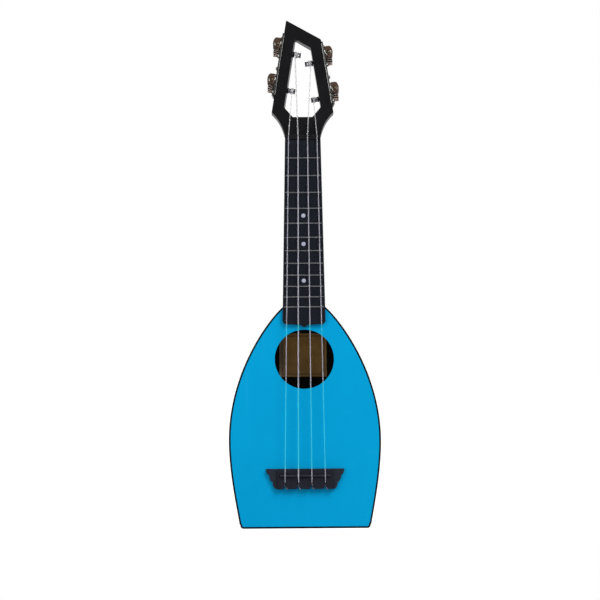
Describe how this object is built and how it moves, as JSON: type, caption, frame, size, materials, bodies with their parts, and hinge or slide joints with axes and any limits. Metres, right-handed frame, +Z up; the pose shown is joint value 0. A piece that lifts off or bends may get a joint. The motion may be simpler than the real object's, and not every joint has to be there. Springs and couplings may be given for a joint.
{
  "type": "soprano ukulele",
  "caption": "Soprano ukulele with a teardrop body on a flat base, round soundhole, fretted neck, four strings, open skeleton headstock and geared tuners.",
  "frame": {"origin": "centre of the flat base face that the body stands on, at mid depth", "axes": "+Z up along the neck towards the headstock, -Y out of the soundboard, +X to the right seen from the front"},
  "size_m": [0.1566, 0.071, 0.524],
  "materials": {
    "shell_black": "black moulded thermoplastic, satin",
    "top_blue": "thin plywood stained and lacquered bright blue, satin",
    "neck_black": "black lacquer, satin",
    "board_black": "blue-black moulded, satin",
    "bridge_dark": "dark brown-black, satin",
    "nut_black": "black, satin",
    "nickel": "nickel plate, slightly dulled",
    "bronze": "aged bronze, satin",
    "fret_metal": "nickel silver, dull",
    "bolt_steel": "zinc-plated",
    "pearl": "pearl white, glossy",
    "nylon": "clear nylon, translucent",
    "kraft": "brown kraft paper",
    "spruce": "bare spruce",
    "inner_wood": "bare hardwood"
  },
  "bodies": {
    "instrument": {"body_shell": "shell_black", "soundboard": "top_blue", "rim_lining": "spruce", "soundhole_label": "kraft", "neck_block": "inner_wood", "neck_bolt": "bolt_steel", "upper_brace": "spruce", "lower_brace": "spruce", "bridge_plate": "spruce", "bridge": "bridge_dark", "saddle": "bridge_dark", "neck": "neck_black", "fretboard": "board_black", "nut": "nut_black", "string_g": "nylon", "string_c": "nylon", "string_e": "nylon", "string_a": "nylon", "fret_01": "fret_metal", "fret_02": "fret_metal", "fret_03": "fret_metal", "fret_04": "fret_metal", "fret_05": "fret_metal", "fret_06": "fret_metal", "fret_07": "fret_metal", "fret_08": "fret_metal", "fret_09": "fret_metal", "fret_10": "fret_metal", "fret_11": "fret_metal", "fret_12": "fret_metal", "dot_5": "pearl", "dot_7": "pearl", "dot_10": "pearl", "tuner_plate_left": "nickel", "plate_screw_left_1": "nickel", "plate_screw_left_2": "nickel", "plate_screw_left_3": "nickel", "tuner_plate_right": "nickel", "plate_screw_right_1": "nickel", "plate_screw_right_2": "nickel", "plate_screw_right_3": "nickel"},
    "tuner_key_g": {"knob_g": "bronze", "worm_g": "bronze"},
    "tuner_post_g": {"string_post_g": "nickel", "gear_g": "bronze"},
    "tuner_key_c": {"knob_c": "bronze", "worm_c": "bronze"},
    "tuner_post_c": {"string_post_c": "nickel", "gear_c": "bronze"},
    "tuner_key_e": {"knob_e": "bronze", "worm_e": "bronze"},
    "tuner_post_e": {"string_post_e": "nickel", "gear_e": "bronze"},
    "tuner_key_a": {"knob_a": "bronze", "worm_a": "bronze"},
    "tuner_post_a": {"string_post_a": "nickel", "gear_a": "bronze"}
  },
  "joints": [
    {"name": "key_turn_g", "type": "hinge", "parent": "instrument", "child": "tuner_key_g", "pos_m": [-0.03152, -0.01145, 0.46125], "axis": [0, -0.9763, 0.2164], "continuous": true},
    {"name": "post_turn_g", "type": "hinge", "parent": "instrument", "child": "tuner_post_g", "pos_m": [-0.03274, -0.01313, 0.45368], "axis": [0.9877, -0.0339, -0.1527], "continuous": true},
    {"name": "key_turn_c", "type": "hinge", "parent": "instrument", "child": "tuner_key_c", "pos_m": [-0.02545, -0.00316, 0.49866], "axis": [0, -0.9763, 0.2164], "continuous": true},
    {"name": "post_turn_c", "type": "hinge", "parent": "instrument", "child": "tuner_post_c", "pos_m": [-0.02667, -0.00483, 0.49109], "axis": [0.9877, -0.0339, -0.1527], "continuous": true},
    {"name": "key_turn_e", "type": "hinge", "parent": "instrument", "child": "tuner_key_e", "pos_m": [0.02693, -0.00519, 0.4895], "axis": [0, -0.9763, 0.2164], "continuous": true},
    {"name": "post_turn_e", "type": "hinge", "parent": "instrument", "child": "tuner_post_e", "pos_m": [0.02816, -0.00686, 0.48193], "axis": [0.9877, 0.0339, 0.1527], "continuous": true},
    {"name": "key_turn_a", "type": "hinge", "parent": "instrument", "child": "tuner_key_a", "pos_m": [0.033, -0.01348, 0.45209], "axis": [0, -0.9763, 0.2164], "continuous": true},
    {"name": "post_turn_a", "type": "hinge", "parent": "instrument", "child": "tuner_post_a", "pos_m": [0.03423, -0.01516, 0.44452], "axis": [0.9877, 0.0339, 0.1527], "continuous": true}
  ],
  "couplings": [
    {"joint": "post_turn_g", "follows": "key_turn_g", "ratio": -0.071429},
    {"joint": "post_turn_c", "follows": "key_turn_c", "ratio": -0.071429},
    {"joint": "post_turn_e", "follows": "key_turn_e", "ratio": -0.071429},
    {"joint": "post_turn_a", "follows": "key_turn_a", "ratio": -0.071429}
  ]
}
